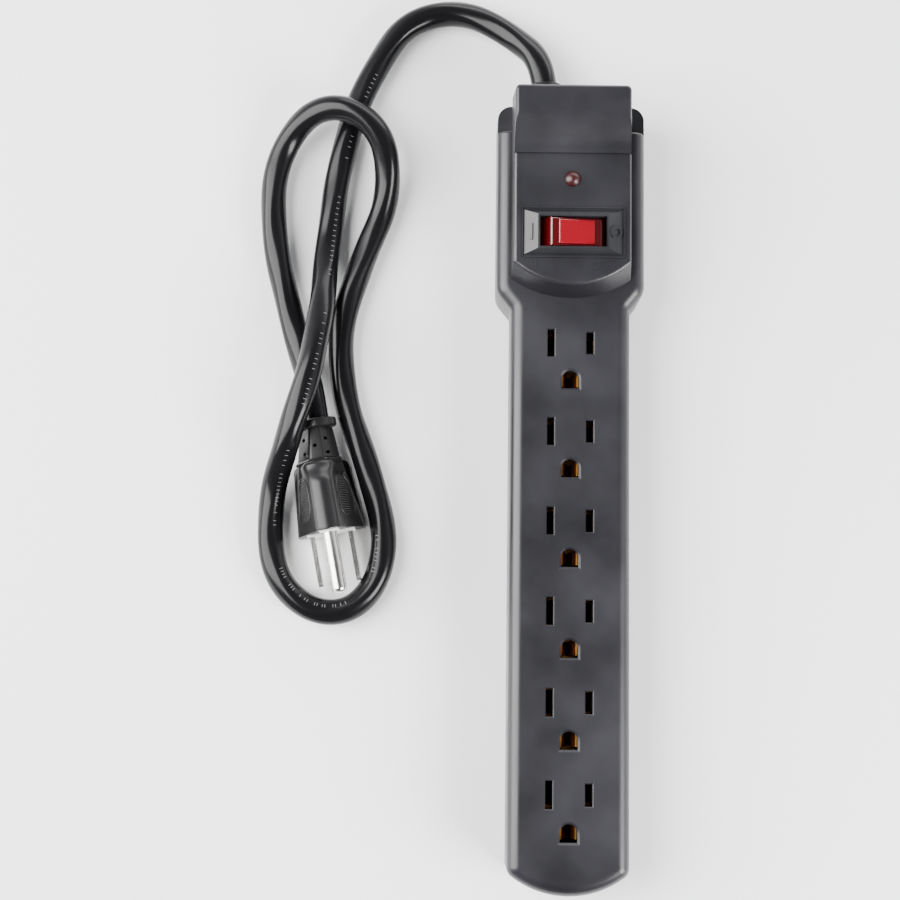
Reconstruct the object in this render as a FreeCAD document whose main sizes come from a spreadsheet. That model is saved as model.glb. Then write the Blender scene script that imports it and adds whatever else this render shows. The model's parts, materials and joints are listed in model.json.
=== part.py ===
import FreeCAD, Part
import math
import os
import re
import Sketcher

# Six-outlet surge protector with a short cord and a moulded grounding plug.
# Frame: +Z up out of the outlets, +Y along the strip toward the cord end,
# origin at the bottom centre of the housing.  Millimetres.

SIZES = {
    # housing plan
    "body_half": 19.5, "wing_half": 24.3, "end_round": 1.6,
    "far_end": 130.3, "wing_end": 127.2, "wing_foot": 58.5, "wing_shoulder": 64.5,
    "near_corner": 123.1, "near_round": 30.0, "corner_round": 3.5,
    "shoulder_round": 6.0, "wing_round": 4.5, "inner_round": 1.5,
    # housing heights
    "split_level": 11.0, "face_level": 25.0, "panel_level": 32.5, "hood_level": 37.0,
    "wall": 2.2, "skin": 2.4, "edge_round": 4.0, "foot_bevel": 1.0,
    "step_run": 9.0, "step_drop": 3.4, "step_round": 1.0, "draft": 0.9,
    # raised head
    "head_foot_half": 19.6, "hood_half": 18.8,
    "head_foot_corner": 68.1, "panel_corner": 72.7,
    "head_foot_round": 34.2, "panel_round": 28.1,
    "panel_end": 108.4, "ledge_rise": 0.9, "slope_foot": 110.6, "crest": 121.5,
    "knee": 0.25, "head_edge": 1.1,
    # outlets
    "outlet_count": 6, "outlet_pitch": 29.1, "first_outlet": 47.1,
    "blade_spacing": 12.7, "long_slot": 8.9, "short_slot": 7.1, "slot_width": 2.3,
    "ground_drop": 11.9, "ground_half": 2.8, "ground_flat": 3.0, "hole_bevel": 0.7,
    "slot_bevel": 0.3,
    # switch
    "switch_across": 0.3, "switch_along": 82.2, "bezel_long": 33.8, "bezel_wide": 16.9,
    "bezel_gap": 0.1, "mouth_long": 21.8, "mouth_wide": 10.0, "flange_lip": 0.4,
    "flange_thick": 2.0, "pivot_level": 26.2, "rocker_radius": 10.7, "rocker_wide": 9.5,
    "rocker_top": 6.8, "crown_round": 0.7, "rocker_base": 3.0, "rest_tilt": 9.0,
    "lens_rise": 0.5, "rim_rise": 1.5, "rim_wide": 0.65, "slope_long": 32.0,
    "slope_wide": 14.8, "groove_deep": 0.45, "frame_bead": 0.5, "bead_rise": 0.15,
    "frame_corner": 1.2,
    "pin_radius": 1.0, "case_long": 25.6, "case_wide": 15.2, "case_base": 12.0,
    "case_top": 28.0, "seesaw_drop": 10.0, "bead_radius": 0.3,
    # indicator and board
    "lamp_along": 99.9, "lamp_radius": 2.5, "board_level": 13.0, "board_thick": 1.6,
    "board_half": 15.0, "board_near": 93.6, "board_far": 115.4,
    # fastening
    "boss_radius": 3.2, "screw_radius": 1.4, "screw_head": 2.8, "screw_reach": 20.0,
    "keyhole_along": 46.0, "keyhole_entry": 4.0, "keyhole_neck": 2.1, "keyhole_run": 9.0,
    # bus bars
    "bar_level": 10.4, "bar_thick": 0.8, "bar_near": 112.6, "bar_far": 56.0,
    "blade_leaf_top": 17.5, "earth_leaf_top": 21.0, "leaf_throat": 5.0,
    "leaf_thick": 0.5, "tray_far": 51.0,
    # cord and gland
    "gland_across": -8.0, "gland_level": 12.5, "gland_hole": 6.4, "gland_reach": 7.0,
    "cord_radius": 4.4,
    # plug, in its own frame: face at the origin, blades toward -Y
    "plug_across": -78.0, "plug_along": -14.4, "plug_turn": 11.0, "plug_body": 24.0,
    "relief_run": 10.7, "relief_lean": 1.7, "collar_run": 3.0, "cord_height": 9.0,
    "blade_height": 6.6, "blade_wide": 6.35, "blade_thick": 1.5, "blade_reach": 17.3,
    "blade_root": 4.5, "blade_taper": 1.3, "blade_hole": 1.6, "blade_hole_gap": 4.9,
    "earth_rise": 11.9, "earth_radius": 2.4, "earth_reach": 21.3, "earth_dome": 1.8,
    "front_half": 11.5, "front_shoulder": 6.2, "front_ridge": 4.6, "front_foot": 20.4,
    "back_half": 9.2, "back_shoulder": 5.2, "back_ridge": 4.2, "back_foot": 15.2,
    "relief_thick": 7.0, "relief_thin": 4.8, "collar_radius": 6.4,
    "carrier_half": 7.9, "carrier_tall": 11.2, "carrier_neck": 3.1, "carrier_top": 21.3,
    "carrier_low": 2.2, "carrier_gap": 0.03, "carrier_proud": 0.7,
}

DOC = FreeCAD.newDocument("surge_protector")
SHEET = DOC.addObject("Spreadsheet::Sheet", "Sizes")
for row, (alias, size) in enumerate(SIZES.items(), start=1):
    SHEET.set(f"A{row}", alias)
    SHEET.set(f"B{row}", str(size))
    SHEET.setAlias(f"B{row}", alias)
DOC.recompute()

ALIAS = re.compile(r"\b(" + "|".join(sorted(SIZES, key=len, reverse=True)) + r")\b")
V = FreeCAD.Vector
NODES = []


def bound(expression):
    """The expression with each size named as the sheet's cell."""
    return ALIAS.sub(r"Sizes.\1", str(expression))


def number(expression):
    """The expression's value with the sheet's present sizes."""
    return float(SHEET.evalExpression(bound(expression)))


def drive(thing, target, expression):
    """Bind one property, or set it where the expression is a bare number."""
    if ALIAS.search(str(expression)):
        thing.setExpression(target, bound(expression))


def node(thing, label):
    thing.Label = label
    NODES.append(thing)
    return thing


# ---------------------------------------------------------------- sketches

def plane_of(body, role):
    return next(item for item in body.Origin.OriginFeatures if item.Role == role)


def new_sketch(body, name, plane="XY_Plane", level="0"):
    """Empty sketch on one of the body's planes, lifted along the plane's normal."""
    item = body.newObject("Sketcher::SketchObject", name)
    item.AttachmentSupport = [(plane_of(body, plane), "")]
    item.MapMode = "FlatFace"
    item.AttachmentOffset = FreeCAD.Placement(V(0, 0, number(level)), FreeCAD.Rotation())
    drive(item, "AttachmentOffset.Base.z", level)
    return item


def pin_point(item, geometry, end, across, along):
    """Hold one end of a line or arc at a bound distance from the sketch's origin."""
    for kind, expression in (("DistanceX", across), ("DistanceY", along)):
        rule = Sketcher.Constraint(kind, -1, 1, geometry, end, number(expression))
        index = item.addConstraint(rule)
        drive(item, f"Constraints[{index}]", expression)


def arc_centre(start, stop, radius, side):
    """Centre of the arc from start to stop; side is 1 where it lies to the left."""
    chord = stop - start
    rise = math.sqrt(max(radius ** 2 - (chord.Length / 2) ** 2, 0))
    left = V(-chord.y, chord.x, 0).normalize()
    return start + chord * 0.5 + left * (rise * side)


def outline(item, corners, arcs=None):
    """Closed outline through bound corners, with arcs = {segment: (radius, side)}."""
    arcs = arcs or {}
    spots = [V(number(across), number(along), 0) for across, along in corners]
    ends = []
    for index, start in enumerate(spots):
        stop = spots[(index + 1) % len(spots)]
        if index not in arcs:
            ends.append((item.addGeometry(Part.LineSegment(start, stop)), 1, 2))
            continue
        radius, side = number(arcs[index][0]), arcs[index][1]
        centre = arc_centre(start, stop, radius, side)
        first, last = (start, stop) if side > 0 else (stop, start)
        turns = [math.atan2(p.y - centre.y, p.x - centre.x) for p in (first, last)]
        if turns[1] < turns[0]:
            turns[1] += 2 * math.pi
        circle = Part.Circle(centre, V(0, 0, 1), radius)
        made = item.addGeometry(Part.ArcOfCircle(circle, turns[0], turns[1]))
        ends.append((made, 1, 2) if side > 0 else (made, 2, 1))
    for index, (made, begin, _) in enumerate(ends):
        last, _, finish = ends[index - 1]
        item.addConstraint(Sketcher.Constraint("Coincident", last, finish, made, begin))
        pin_point(item, made, begin, *corners[index])
        if index in arcs:
            rule = Sketcher.Constraint("Radius", made, number(arcs[index][0]))
            drive(item, f"Constraints[{item.addConstraint(rule)}]", arcs[index][0])
    return item


def rectangle(item, across, along, half_across, half_along):
    """Rectangle about a bound centre."""
    low, high = f"({across}) - ({half_across})", f"({across}) + ({half_across})"
    near, far = f"({along}) - ({half_along})", f"({along}) + ({half_along})"
    return outline(item, [(low, near), (high, near), (high, far), (low, far)])


def ring(item, across, along, radius):
    """Circle about a bound centre."""
    centre = V(number(across), number(along), 0)
    made = item.addGeometry(Part.Circle(centre, V(0, 0, 1), number(radius)))
    pin_point(item, made, 3, across, along)
    rule = Sketcher.Constraint("Radius", made, number(radius))
    drive(item, f"Constraints[{item.addConstraint(rule)}]", radius)
    return item


# ---------------------------------------------------------------- features

def new_body(name):
    return node(DOC.addObject("PartDesign::Body", name), name)


def volume(body):
    DOC.recompute()
    return body.Shape.Volume if body.Shape.Solids else 0.0


def settle(made):
    """Recompute, and stop at a feature that failed."""
    DOC.recompute()
    if "Invalid" in made.State or "Touched" in made.State:
        raise ValueError(f"{made.Name}: {made.getStatusString()}")


def pad(body, profile, length, both=False, back=False):
    """Pad a sketch by a bound length, both ways or against its normal if asked."""
    before = volume(body)
    made = body.newObject("PartDesign::Pad", profile.Name + "_pad")
    made.Profile = profile
    made.Length = number(length)
    drive(made, "Length", length)
    made.SideType = "Symmetric" if both else "One side"
    made.Reversed = back
    body.Tip = made
    if volume(body) <= before:
        raise ValueError(f"{made.Name} adds nothing")
    return made


def pocket(body, profile, length, both=False, up=False):
    """Pocket a sketch by a bound length; up cuts along the sketch's normal."""
    before = volume(body)
    made = body.newObject("PartDesign::Pocket", profile.Name + "_cut")
    made.Profile = profile
    made.Length = number(length)
    drive(made, "Length", length)
    made.SideType = "Symmetric" if both else "One side"
    made.Reversed = up
    body.Tip = made
    if volume(body) >= before:
        raise ValueError(f"{made.Name} cuts nothing")
    return made


def loft(body, first, second, cut=False):
    """Straight loft between two sketches."""
    kind = "Subtractive" if cut else "Additive"
    made = body.newObject(f"PartDesign::{kind}Loft", first.Name + "_loft")
    made.Profile = first
    made.Sections = [second]
    made.Ruled = True
    body.Tip = made
    settle(made)
    return made


def dress(body, kind, name, size, test):
    """Fillet or chamfer every edge of the body that the test picks."""
    DOC.recompute()
    base = body.Tip
    edges = [f"Edge{i}" for i, edge in enumerate(base.Shape.Edges, start=1) if test(edge)]
    if not edges:
        raise ValueError(f"{name} finds no edge")
    made = body.newObject(f"PartDesign::{kind}", name)
    made.Base = (base, edges)
    target = "Radius" if kind == "Fillet" else "Size"
    setattr(made, target, number(size))
    drive(made, target, size)
    body.Tip = made
    settle(made)
    return made


def repeat(body, name, features, count, step, plane, axis):
    """Repeat features along one axis of an origin plane."""
    made = body.newObject("PartDesign::LinearPattern", name)
    made.Originals = features
    made.Direction = (plane_of(body, plane), [axis])
    made.Mode = "Spacing"
    made.Offset = number(step)
    made.Occurrences = int(number(count))
    drive(made, "Offset", step)
    body.Tip = made
    settle(made)
    return made


def upright(edge, across, along, slack=0.4):
    """True for a straight edge along Z near the place (both signs of X)."""
    box = edge.BoundBox
    if box.XLength > 1e-4 or box.YLength > 1e-4:
        return False
    return abs(abs(box.XMin) - across) < slack and abs(box.YMin - along) < slack


def flat_at(edge, level):
    box = edge.BoundBox
    return abs(box.ZMin - level) < 1e-4 and abs(box.ZMax - level) < 1e-4


# ---------------------------------------------------------------- plan shapes

def plan_corners(inset, reach="wing_end"):
    """Housing plan without the end block, moved inward by the inset."""
    narrow, wide = f"body_half - {inset}", f"wing_half - {inset}"
    low, foot = f"-near_corner + {inset}", f"wing_foot + {inset} / 2"
    shoulder, end = f"wing_shoulder + {inset} / 2", f"{reach} - {inset}"
    return [(f"-({narrow})", low), (narrow, low), (narrow, foot), (wide, shoulder),
            (wide, end), (f"-({wide})", end), (f"-({wide})", shoulder),
            (f"-({narrow})", foot)]


def plan_sketch(body, name, level, inset="0", reach="wing_end"):
    item = new_sketch(body, name, level=level)
    return outline(item, plan_corners(inset, reach), {0: (f"near_round - {inset}", 1)})


def round_plan(body):
    """Round the plan's upright corners."""
    low, foot = -number("near_corner"), number("wing_foot")
    narrow, wide = number("body_half"), number("wing_half")
    shoulder, end = number("wing_shoulder"), number("wing_end")
    name = body.Name
    dress(body, "Fillet", f"{name}_near", "corner_round", lambda e: upright(e, narrow, low))
    dress(body, "Fillet", f"{name}_waist", "inner_round", lambda e: upright(e, narrow, foot))
    dress(body, "Fillet", f"{name}_shoulder", "shoulder_round",
          lambda e: upright(e, wide, shoulder))
    dress(body, "Fillet", f"{name}_far", "wing_round", lambda e: upright(e, wide, end))


def round_end(item, half, near, front=None):
    """Outline that ends at the far wall with two rounded corners."""
    corners = [(f"-{half}", near), (half, near), (half, "far_end - end_round"),
               (f"{half} - end_round", "far_end"), (f"-({half} - end_round)", "far_end"),
               (f"-{half}", "far_end - end_round")]
    arcs = {2: ("end_round", 1), 4: ("end_round", 1)}
    if front:
        arcs[0] = (front, 1)
    return outline(item, corners, arcs)


def end_block(body, name, low, high):
    """Block between the wings that carries the cord's gland, wider toward the top."""
    layers = []
    for place, level in (("foot", low), ("top", high)):
        layers.append(new_sketch(body, f"{name}_{place}", level=level))
        half = f"(head_foot_half - draft * (1 - ({level}) / face_level))"
        round_end(layers[-1], half, "wing_end - 9")
    loft(body, *layers)


def gland_hole(body, name):
    """Round hole through the end wall for the gland."""
    item = new_sketch(body, name, "XZ_Plane", "-far_end")
    ring(item, "gland_across", "gland_level", "gland_hole")
    pocket(body, item, "2 * wall + 4", both=True)


BOSS_PLACES = [(14.6, -112.4), (14.6, -25.0), (19.3, 70.5), (19.3, 118.0)]


def boss_rings(body, name, level, radius, places=None):
    """One circle at every screw's place."""
    item = new_sketch(body, name, level=level)
    for across, along in places or BOSS_PLACES:
        for side in (-1, 1):
            ring(item, str(side * across), str(along), radius)
    return item


# ---------------------------------------------------------------- top housing

def head_half(level):
    """Half width of the head at a height between its foot and the hood's top."""
    return (f"(head_foot_half - (head_foot_half - hood_half) * ({level} - face_level)"
            " / (hood_level - face_level))")


def raised_head(body):
    """Raised panel with a sloping front wall, and the hood behind it."""
    foot = new_sketch(body, "head_foot", level="face_level")
    round_end(foot, "head_foot_half", "head_foot_corner", "head_foot_round")
    panel = new_sketch(body, "head_panel", level="panel_level")
    round_end(panel, head_half("panel_level"), "panel_corner", "panel_round")
    loft(body, foot, panel)
    panel_top, hood_top = number("panel_level"), number("hood_level")
    front = number("panel_end")
    dress(body, "Fillet", "panel_edge", "head_edge", lambda e: flat_at(e, panel_top))
    buried = "panel_level - head_edge - 0.2"
    base = new_sketch(body, "hood_base", level=buried)
    round_end(base, head_half(buried), "panel_end")
    crown = new_sketch(body, "hood_crown", level="hood_level")
    round_end(crown, "hood_half", "panel_end")
    loft(body, base, crown)
    dress(body, "Fillet", "hood_edge", "head_edge",
          lambda e: flat_at(e, hood_top) and e.BoundBox.Center.y > front + 1)
    hood_slope(body)


def hood_slope(body):
    """Cut the hood's front to a hollow foot and a rounded crest that meet smoothly."""
    ledge = "(panel_level + ledge_rise)"
    run, rise = "(crest - slope_foot)", f"(hood_level - {ledge})"
    bend = f"({run} ^ 2 + {rise} ^ 2) / (2 * {rise})"
    cut = new_sketch(body, "hood_slope", "YZ_Plane")
    corners = [("panel_end - 1", ledge), ("slope_foot", ledge),
               (f"slope_foot + knee * {run}", f"{ledge} + knee * {rise}"),
               ("crest", "hood_level"), ("crest", "hood_level + 2"),
               ("panel_end - 1", "hood_level + 2")]
    outline(cut, corners, {1: (f"knee * {bend}", 1), 2: (f"(1 - knee) * {bend}", -1)})
    pocket(body, cut, "4 * wing_half", both=True)


def outlet_row(body):
    """Two blade slots and an arched ground hole, repeated down the body."""
    item = new_sketch(body, "outlet", level="face_level")
    side = "blade_spacing / 2"
    rectangle(item, f"-{side}", "first_outlet", "slot_width / 2", "long_slot / 2")
    rectangle(item, side, "first_outlet", "slot_width / 2 + 0.05", "short_slot / 2")
    middle = "first_outlet - ground_drop"
    corners = [("-ground_half", f"{middle} - ground_flat"),
               ("ground_half", f"{middle} - ground_flat"),
               ("ground_half", middle), ("0", f"{middle} + ground_half"),
               ("-ground_half", middle)]
    outline(item, corners, {2: ("ground_half", 1), 3: ("ground_half", 1)})
    cut = pocket(body, item, "skin + 0.1")
    repeat(body, "outlets", [cut], "outlet_count", "outlet_pitch", "XZ_Plane", "N_Axis")


def ease_outlets(body):
    """Bevel the mouths of the ground holes and the blade slots."""
    face, pitch = number("face_level"), number("outlet_pitch")
    top, drop = number("first_outlet"), number("ground_drop")
    count = int(number("outlet_count"))

    def near(edge, across, shift, reach):
        spot = edge.BoundBox.Center
        rows = [top - shift - pitch * index for index in range(count)]
        close = min(abs(spot.y - row) for row in rows)
        return flat_at(edge, face) and abs(abs(spot.x) - across) < reach and close < 5

    dress(body, "Chamfer", "ground_bevel", "hole_bevel",
          lambda e: near(e, 0, drop, 3) and abs(e.BoundBox.Center.x) < 3)
    half = number("blade_spacing / 2")
    dress(body, "Chamfer", "slot_bevel_cut", "slot_bevel",
          lambda e: near(e, half, 0, 1.5))


def top_housing():
    body = new_body("top_housing")
    pad(body, plan_sketch(body, "top_plan", "split_level"), "face_level - split_level")
    round_plan(body)
    face, step = number("face_level"), number("wing_end - step_run")
    dress(body, "Fillet", "top_round", "edge_round", lambda e: flat_at(e, face))
    cut = new_sketch(body, "wing_step", "YZ_Plane")
    middle = "wing_end + 1 - (step_run + 1) / 2"
    rectangle(cut, middle, "face_level", "(step_run + 1) / 2", "step_drop")
    pocket(body, cut, "4 * wing_half", both=True)
    dress(body, "Fillet", "wing_step_round", "step_round",
          lambda e: e.BoundBox.YLength < 0.01 and abs(e.BoundBox.YMin - step) < 0.01
          and e.BoundBox.ZMax > face - 0.1)
    end_block(body, "top_block", "split_level", "face_level")
    raised_head(body)
    hollow_top(body)
    outlet_row(body)
    ease_outlets(body)
    return body


def hollow_top(body):
    """Cavity under the skin, in the head and in the hood, with openings and bosses."""
    plan = plan_sketch(body, "top_cavity", "split_level", "wall", "(wing_end - step_run)")
    pocket(body, plan, "face_level - skin - split_level", up=True)
    tips = new_sketch(body, "tip_cavity", level="split_level")
    rectangle(tips, "0", "wing_end - wall - step_run", "wing_half - wall", "step_run")
    pocket(body, tips, "face_level - step_drop - skin - split_level", up=True)
    for name, near, far, half, roof in (
            ("head_cavity", 73.0, 127.6, 17.7, "panel_level - skin"),
            ("hood_cavity", 121.5, 127.6, 15.2, "hood_level - skin"),
            ("neck_cavity", 120.0, 128.1, 16.5, "face_level - skin")):
        item = new_sketch(body, name, level="split_level")
        rectangle(item, "0", str((near + far) / 2), str(half), str((far - near) / 2))
        pocket(body, item, f"{roof} - split_level", up=True)
    window = new_sketch(body, "switch_window", level="panel_level")
    rectangle(window, "switch_across", "switch_along", "bezel_long / 2 + bezel_gap",
              "bezel_wide / 2 + bezel_gap")
    pocket(body, window, "skin + 1")
    round_switch_corners(body, "window_corners", "bezel_gap", "frame_corner + bezel_gap")
    lamp = new_sketch(body, "lamp_hole", level="panel_level")
    ring(lamp, "0", "lamp_along", "lamp_radius + 0.1")
    pocket(body, lamp, "skin + 1")
    gland_hole(body, "top_gland_hole")
    for name, places, roof in (("top_bosses", BOSS_PLACES[:3], "face_level"),
                               ("far_bosses", BOSS_PLACES[3:], "face_level - step_drop")):
        bosses = boss_rings(body, name, "split_level", "boss_radius", places)
        pad(body, bosses, f"{roof} - skin / 2 - split_level")
    pilots = boss_rings(body, "top_pilots", "split_level", "screw_radius + 0.05")
    pocket(body, pilots, "screw_reach + 0.6 - split_level", up=True)


# ---------------------------------------------------------------- rear cover

def rear_cover():
    body = new_body("rear_cover")
    pad(body, plan_sketch(body, "rear_plan", "0"), "split_level")
    round_plan(body)
    end_block(body, "rear_block", "0", "split_level")
    dress(body, "Chamfer", "rear_bevel", "foot_bevel", lambda e: flat_at(e, 0))
    pocket(body, plan_sketch(body, "rear_cavity", "skin", "wall"), "split_level", up=True)
    neck = new_sketch(body, "rear_neck", level="skin")
    rectangle(neck, "0", "124", "16.5", "4.1")
    pocket(body, neck, "split_level", up=True)
    gland_hole(body, "rear_gland_hole")
    pad(body, boss_rings(body, "columns", "0", "boss_radius + 0.9"), "split_level")
    pocket(body, boss_rings(body, "screw_wells", "0", "screw_head + 0.3"), "4", up=True)
    pocket(body, boss_rings(body, "screw_ways", "0", "screw_radius + 0.3"),
           "split_level + 1", up=True)
    posts = new_sketch(body, "board_posts", level="skin / 2")
    for across in (-1, 1):
        for along in ("board_near + 2.5", "board_far - 2.5"):
            ring(posts, f"{across} * (board_half - 2.5)", along, "1.6")
    pad(body, posts, "board_level - skin / 2")
    for side in (-1, 1):
        keyhole(body, side)
    return body


def keyhole(body, side):
    """Entry circle with a narrower slot toward the cord end, for hanging on a screw."""
    place = f"{side} * keyhole_along"
    name = "near" if side < 0 else "far"
    entry = new_sketch(body, f"{name}_keyhole", level="0")
    pocket(body, ring(entry, "0", place, "keyhole_entry"), "skin + 1", up=True)
    slot = new_sketch(body, f"{name}_keyslot", level="0")
    end = f"{place} + keyhole_run"
    corners = [("-keyhole_neck", place), ("keyhole_neck", place), ("keyhole_neck", end),
               ("0", f"{end} + keyhole_neck"), ("-keyhole_neck", end)]
    arcs = {2: ("keyhole_neck", 1), 3: ("keyhole_neck", 1)}
    pocket(body, outline(slot, corners, arcs), "skin + 1", up=True)


# ---------------------------------------------------------------- switch

def round_switch_corners(body, name, margin, radius):
    """Round the four upright edges of a rectangle about the switch's centre."""
    across, along = number("switch_across"), number("switch_along")
    reach_x = number(f"bezel_long / 2 + {margin}")
    reach_y = number(f"bezel_wide / 2 + {margin}")

    def at_corner(edge):
        box = edge.BoundBox
        return (box.XLength < 1e-4 and box.YLength < 1e-4
                and abs(abs(box.XMin - across) - reach_x) < 0.01
                and abs(abs(box.YMin - along) - reach_y) < 0.01)

    dress(body, "Fillet", name, radius, at_corner)


def switch_bezel():
    """Frame set in the panel: a bead round its edge and slopes that rise to the mouth."""
    body = new_body("switch_bezel")
    centre = ("switch_across", "switch_along")
    seat = "panel_level - skin - flange_thick"
    flange = new_sketch(body, "bezel_flange", level=seat)
    rectangle(flange, *centre, "bezel_long / 2 + flange_lip", "bezel_wide / 2 + flange_lip")
    pad(body, flange, "flange_thick")
    frame = new_sketch(body, "bezel_frame", level=seat)
    rectangle(frame, *centre, "bezel_long / 2", "bezel_wide / 2")
    pad(body, frame, "skin + flange_thick + bead_rise")
    round_switch_corners(body, "frame_corners", "0", "frame_corner")
    groove = new_sketch(body, "bezel_groove", level="panel_level - groove_deep")
    rectangle(groove, *centre, "bezel_long / 2 - frame_bead", "bezel_wide / 2 - frame_bead")
    pocket(body, groove, "skin", up=True)
    foot = new_sketch(body, "slope_foot_plan", level="panel_level - groove_deep")
    rectangle(foot, *centre, "slope_long / 2", "slope_wide / 2")
    rim = new_sketch(body, "slope_rim_plan", level="panel_level + rim_rise")
    rectangle(rim, *centre, "mouth_long / 2 + rim_wide", "mouth_wide / 2 + rim_wide")
    loft(body, foot, rim)
    mouth = new_sketch(body, "bezel_mouth", level=seat)
    rectangle(mouth, *centre, "mouth_long / 2", "mouth_wide / 2")
    pocket(body, mouth, "2 * skin + 2 * flange_thick", up=True)
    return body


def breaker_case():
    """Moulded case under the bezel, open at the top, with slots for its terminals."""
    body = new_body("breaker_case")
    centre = ("switch_across", "switch_along")
    outer = new_sketch(body, "case_block", level="case_base")
    rectangle(outer, *centre, "case_long / 2", "case_wide / 2")
    pad(body, outer, "case_top - case_base")
    upper = new_sketch(body, "case_upper", level="pivot_level - 7.2")
    rectangle(upper, *centre, "case_long / 2 - 1.6", "rocker_wide / 2 + 0.5")
    pocket(body, upper, "case_top", up=True)
    lower = new_sketch(body, "case_lower", level="pivot_level - 11.9")
    rectangle(lower, *centre, "8.6", "2.6")
    pocket(body, lower, "case_top", up=True)
    axle = new_sketch(body, "case_axle", "XZ_Plane", "-switch_along")
    ring(axle, "switch_across", "pivot_level", "pin_radius")
    pocket(body, axle, "case_wide + 1", both=True)
    slots = new_sketch(body, "case_slots", level="case_base")
    for shift in TERMINAL_SHIFTS.values():
        rectangle(slots, f"switch_across + {shift}", "switch_along", "0.4", "2.4")
    pocket(body, slots, "4", up=True)
    return body


TERMINAL_SHIFTS = {"lamp_terminal": -7.0, "line_terminal": 0.0, "load_terminal": 7.0}


def terminal(name, top):
    """Flat tab through the case's floor; its top is the contact's height."""
    body = new_body(name)
    item = new_sketch(body, name + "_tab", level="case_base - 6.5")
    rectangle(item, f"switch_across + {TERMINAL_SHIFTS[name]}", "switch_along", "0.4", "2.4")
    pad(body, item, f"{top} - case_base + 6.5")
    hole = new_sketch(body, name + "_hole", "YZ_Plane")
    ring(hole, "switch_along", "case_base - 4.3", "0.8")
    pocket(body, hole, "4 * wing_half", both=True)
    return body


def line_terminal():
    """Middle terminal, with the round bead on top that the contact bar rocks on."""
    body = terminal("line_terminal", "pivot_level - seesaw_drop - 0.06")
    bead = new_sketch(body, "fulcrum_bead", "XZ_Plane", "-switch_along")
    ring(bead, "switch_across", "pivot_level - seesaw_drop", "bead_radius")
    pad(body, bead, "4.8", both=True)


def rocker_frame(thing):
    """Place a piece that is drawn about the rocker's axis, at the off position."""
    thing.Placement = FreeCAD.Placement(
        V(number("switch_across"), number("switch_along"), number("pivot_level")),
        FreeCAD.Rotation(V(0, 1, 0), number("rest_tilt")))
    drive(thing, "Placement.Base.x", "switch_across")
    drive(thing, "Placement.Base.y", "switch_along")
    drive(thing, "Placement.Base.z", "pivot_level")


def end_reach(height):
    """Half length of the rocker at a height, where its ends follow a circle."""
    return f"sqrt(rocker_radius ^ 2 - ({height}) ^ 2)"


def rocker():
    """Rocker cap with round ends, a lens well and a plunger stem."""
    body = new_body("rocker")
    side = new_sketch(body, "rocker_side", "XZ_Plane")
    low, high = end_reach("rocker_base"), end_reach("rocker_top")
    corners = [(f"-{low}", "-rocker_base"), (low, "-rocker_base"), (high, "rocker_top"),
               (f"-{high}", "rocker_top")]
    outline(side, corners, {1: ("rocker_radius", 1), 3: ("rocker_radius", 1)})
    pad(body, side, "rocker_wide", both=True)
    top = number("rocker_top")
    dress(body, "Fillet", "rocker_crown", "crown_round", lambda e: flat_at(e, top))
    well = new_sketch(body, "lens_well", level="rocker_top - 2")
    rectangle(well, "0", "0", "6", "rocker_wide / 2 - 0.7")
    pocket(body, well, "4", up=True)
    stem = new_sketch(body, "rocker_stem", level="-6.2")
    pad(body, ring(stem, "0", "0", "2.3"), "rocker_base + 1")
    bore = new_sketch(body, "stem_bore", level="-6.2")
    pocket(body, ring(bore, "0", "0", "1.3"), "4.4", up=True)
    axle = new_sketch(body, "rocker_axle", "XZ_Plane")
    pocket(body, ring(axle, "0", "0", "pin_radius + 0.06"), "rocker_wide + 1", both=True)
    rocker_frame(body)
    return body


def rocker_lens():
    """Clear block that stands a little proud of the rocker's top."""
    body = new_body("rocker_lens")
    item = new_sketch(body, "lens_block", level="rocker_top - 2")
    rectangle(item, "0", "0", "6 - 0.03", "rocker_wide / 2 - 0.73")
    pad(body, item, "2 + lens_rise")
    top = number("rocker_top + lens_rise")
    dress(body, "Fillet", "lens_edge", "lens_rise - 0.05", lambda e: flat_at(e, top))
    rocker_frame(body)
    return body


def plunger():
    """Sliding pin under the rocker with a round tip."""
    body = new_body("plunger")
    item = new_sketch(body, "plunger_side", "XZ_Plane")
    corners = [("0", "-9.2"), ("1.1", "-8.1"), ("1.1", "-4.6"), ("0", "-4.6")]
    outline(item, corners, {0: ("1.1", 1)})
    made = body.newObject("PartDesign::Revolution", "plunger_turn")
    made.Profile = item
    made.ReferenceAxis = (item, ["V_Axis"])
    made.Angle = 360
    body.Tip = made
    rocker_frame(body)
    return body


def plunger_spring():
    """Compression spring above the plunger, as closed turns on a helix."""
    turns, wire, radius, low = 4, 0.16, 0.95, -4.4
    rise = 2.3
    path = Part.makeHelix(rise / turns, rise, radius)
    section = Part.Wire(Part.Circle(V(radius, 0, 0), V(0, 1, 0), wire).toShape())
    shape = Part.Wire(path.Edges).makePipeShell([section], True, True)
    shape.translate(V(0, 0, low))
    rocker_frame(group("plunger_spring", [shape]))


def rocker_pin():
    pin = node(DOC.addObject("Part::Cylinder", "rocker_pin"), "rocker_pin")
    drive(pin, "Radius", "pin_radius")
    drive(pin, "Height", "case_wide - 0.4")
    pin.Placement = FreeCAD.Placement(V(0, 0, 0), FreeCAD.Rotation(V(1, 0, 0), -90))
    drive(pin, "Placement.Base.x", "switch_across")
    drive(pin, "Placement.Base.y", "switch_along - case_wide / 2 + 0.2")
    drive(pin, "Placement.Base.z", "pivot_level")


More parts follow.
